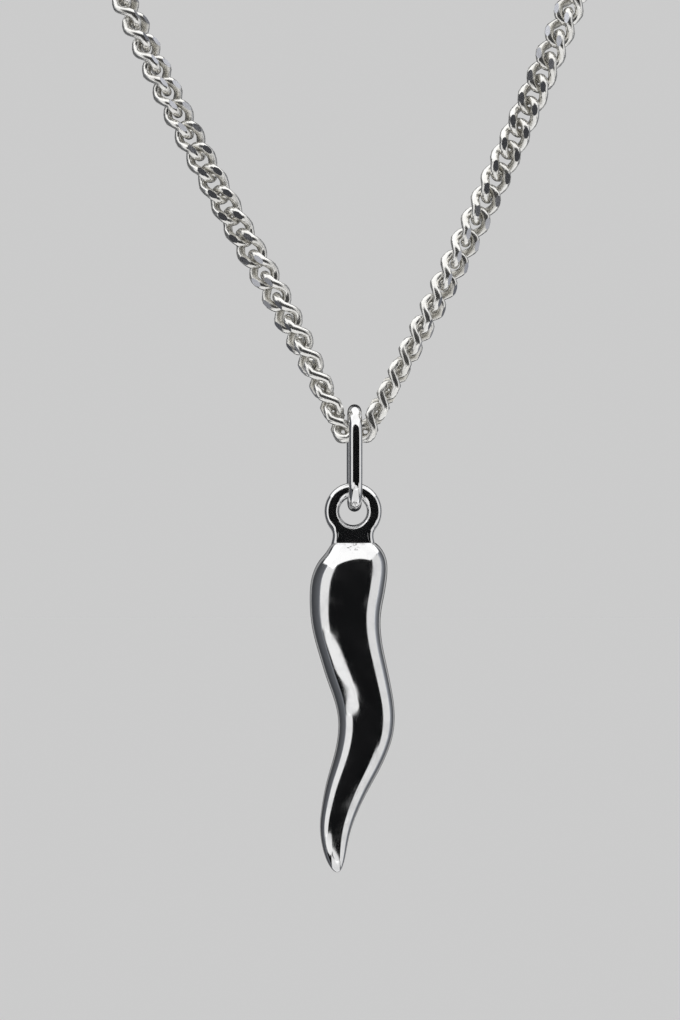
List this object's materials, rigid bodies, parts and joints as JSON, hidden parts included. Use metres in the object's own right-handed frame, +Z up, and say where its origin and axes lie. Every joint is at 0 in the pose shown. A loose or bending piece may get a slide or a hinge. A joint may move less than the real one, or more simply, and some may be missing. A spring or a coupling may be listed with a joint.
{
  "type": "horn pendant necklace",
  "caption": "Polished silver horn pendant with a gentle S curve and a cast loop, hung by an oval bail on a closed curb chain that goes round the neck.",
  "frame": {"origin": "centre of the neck that the chain goes round, level with the stretch of chain at the back of the neck", "axes": "+Z up along the neck, +Y to the back of the neck, +X to the wearer's left; the pendant hangs at the front, on -Y"},
  "size_m": [0.1106, 0.113, 0.0981],
  "materials": {
    "horn_silver": "mirror-polished cast silver",
    "bail_silver": "polished round silver wire",
    "chain_silver": "bright silver wire links with small cut flats",
    "clasp_silver": "polished silver, a little duller than the horn"
  },
  "bodies": {
    "chain": {"chain_left": "chain_silver", "chain_right": "chain_silver", "clasp": "clasp_silver", "clasp_ring": "clasp_silver", "end_ring": "clasp_silver"},
    "bail": {"bail": "bail_silver"},
    "horn": {"horn": "horn_silver"}
  },
  "joints": [
    {"name": "bail_swing", "type": "hinge", "parent": "chain", "child": "bail", "pos_m": [0, -0.05453, -0.06424], "axis": [1, 0, 0], "range_deg": [-70, 70]},
    {"name": "horn_swing", "type": "hinge", "parent": "bail", "child": "horn", "pos_m": [0, -0.05453, -0.06912], "axis": [0, 1, 0], "range_deg": [-60, 60]}
  ]
}
